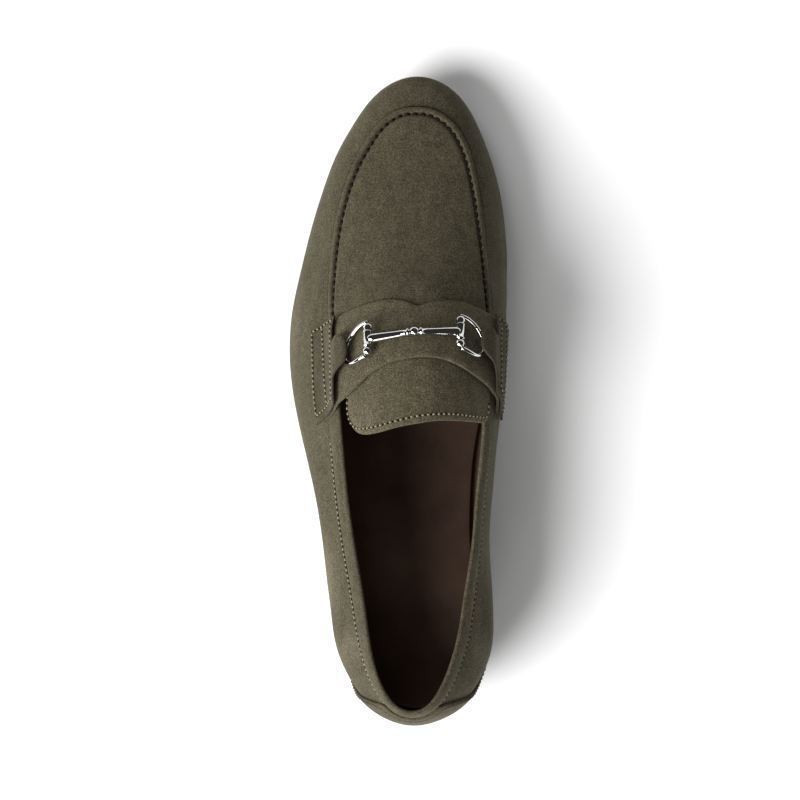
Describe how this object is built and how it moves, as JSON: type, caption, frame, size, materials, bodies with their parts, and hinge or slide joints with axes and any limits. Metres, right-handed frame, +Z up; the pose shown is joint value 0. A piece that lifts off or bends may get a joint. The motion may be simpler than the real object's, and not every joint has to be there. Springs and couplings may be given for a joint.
{
  "type": "bit loafer",
  "caption": "Men's slip-on loafer in suede for the left foot: hand-sewn apron toe, saddle strap with stitched keepers, metal snaffle bit, leather sole and stacked heel.",
  "frame": {"origin": "on the floor, at the middle of the heel's rest face", "axes": "+Y from heel to toe, +X to the inner (medial) side of the left foot, +Z up"},
  "size_m": [0.1019, 0.2982, 0.0978],
  "materials": {
    "suede": "olive-grey suede with a short nap",
    "sole_leather": "waxed sole leather, satin edge",
    "heel_rubber": "dark rubber top piece",
    "lining": "dark brown smooth lining leather",
    "bit_metal": "polished silver-coloured metal"
  },
  "bodies": {
    "root": {"upper": "suede", "tongue": "suede", "saddle_strap": "suede", "keeper_lateral": "suede", "keeper_medial": "suede", "heel_counter": "suede", "outsole": "sole_leather", "heel_lifts": "sole_leather", "heel_top_piece": "heel_rubber", "insole": "lining", "bit_lateral": "bit_metal", "bit_medial": "bit_metal", "bit_link": "bit_metal"}
  },
  "joints": []
}
